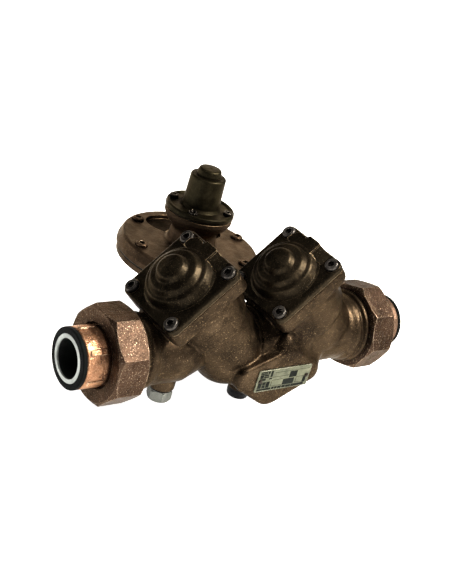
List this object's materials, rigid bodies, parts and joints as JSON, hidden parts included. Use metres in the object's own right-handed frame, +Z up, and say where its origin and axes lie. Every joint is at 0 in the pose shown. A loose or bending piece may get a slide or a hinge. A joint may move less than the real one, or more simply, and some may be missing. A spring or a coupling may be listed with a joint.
{
  "type": "backflow preventer",
  "caption": "Reduced-pressure backflow preventer: bronze body with union ends, inclined spring check valves under bolted covers and a diaphragm relief valve at the side.",
  "frame": {"origin": "centre of the inlet tail's mouth, on the pipe axis", "axes": "+X along the pipe with the flow, +Z up, +Y towards the nameplate side"},
  "size_m": [0.292, 0.1868, 0.1485],
  "materials": {
    "cast_bronze": "rough sand-cast bronze with brown patina",
    "nut_bronze": "rough-cast bronze",
    "tail_bronze": "machined and cast bronze, coppery",
    "cover_bronze": "dark brown lacquered casting",
    "casing_bronze": "cast bronze, dull brown",
    "bonnet_bronze": "dull olive-brown lacquered casting",
    "rubber": "matt black",
    "ring_rubber": "dark grey, satin",
    "grey_resin": "light grey resin",
    "plug_metal": "light grey plated hexagon plug",
    "black_plastic": "black moulded plug",
    "plate_metal": "thin etched plate",
    "screw_steel": "plated steel",
    "dark_steel": "dark oxide steel",
    "spring_steel": "stainless spring wire",
    "brass": "machined brass"
  },
  "bodies": {
    "valve_body": {"body": "cast_bronze", "bonnet_cap": "bonnet_bronze", "bonnet_diaphragm": "rubber", "bonnet_screws": "screw_steel", "casing_screws": "dark_steel", "drain_plug": "plug_metal", "drain_plug_washer": "rubber", "first_check_spring": "spring_steel", "first_cover": "cover_bronze", "first_cover_o_ring": "rubber", "first_cover_screws": "dark_steel", "first_seat": "brass", "first_seat_o_ring": "rubber", "inlet_core": "grey_resin", "inlet_end_ring": "ring_rubber", "inlet_tail": "tail_bronze", "inlet_union_gasket": "rubber", "main_diaphragm": "rubber", "nameplate": "plate_metal", "nameplate_pins": "screw_steel", "outlet_core": "grey_resin", "outlet_end_ring": "ring_rubber", "outlet_tail": "tail_bronze", "outlet_union_gasket": "rubber", "port_o_ring": "rubber", "port_screws": "screw_steel", "relief_body": "casing_bronze", "relief_cover": "casing_bronze", "relief_seat": "brass", "relief_spring": "spring_steel", "relief_spring_seat": "brass", "relief_stem_o_ring": "rubber", "second_check_spring": "spring_steel", "second_cover": "cover_bronze", "second_cover_o_ring": "rubber", "second_cover_screws": "dark_steel", "second_seat": "brass", "second_seat_o_ring": "rubber", "spring_bonnet": "bonnet_bronze", "zone_plug": "black_plastic", "zone_plug_washer": "rubber"},
    "first_check": {"first_poppet": "brass", "first_check_disc": "rubber", "first_disc_retainer": "brass", "first_poppet_nut": "brass"},
    "second_check": {"second_poppet": "brass", "second_check_disc": "rubber", "second_disc_retainer": "brass", "second_poppet_nut": "brass"},
    "relief_stem": {"relief_stem": "brass", "relief_disc": "rubber", "relief_disc_retainer": "brass", "relief_stem_nuts": "brass", "lower_diaphragm_plate": "brass", "upper_diaphragm_plate": "brass", "relief_spring_plate": "brass"},
    "inlet_nut": {"inlet_union_nut": "nut_bronze"},
    "outlet_nut": {"outlet_union_nut": "nut_bronze"}
  },
  "joints": [
    {"name": "first_check_slide", "type": "slide", "parent": "valve_body", "child": "first_check", "axis": [0.7071, 0, 0.7071], "range_m": [0, 0.009], "stiffness_N_per_m": 1500, "springref_m": -0.018, "deforming": ["first_check_spring"]},
    {"name": "second_check_slide", "type": "slide", "parent": "valve_body", "child": "second_check", "axis": [0.7071, 0, 0.7071], "range_m": [0, 0.009], "stiffness_N_per_m": 800, "springref_m": -0.01, "deforming": ["second_check_spring"]},
    {"name": "relief_slide", "type": "slide", "parent": "valve_body", "child": "relief_stem", "axis": [0, 0, 1], "range_m": [-0.006, 0], "stiffness_N_per_m": 1800, "springref_m": 0.01, "deforming": ["relief_spring", "main_diaphragm", "bonnet_diaphragm"]},
    {"name": "inlet_nut_spin", "type": "hinge", "parent": "valve_body", "child": "inlet_nut", "pos_m": [0.0313, 0, 0], "axis": [1, 0, 0], "continuous": true},
    {"name": "outlet_nut_spin", "type": "hinge", "parent": "valve_body", "child": "outlet_nut", "pos_m": [0.2607, 0, 0], "axis": [1, 0, 0], "continuous": true}
  ]
}
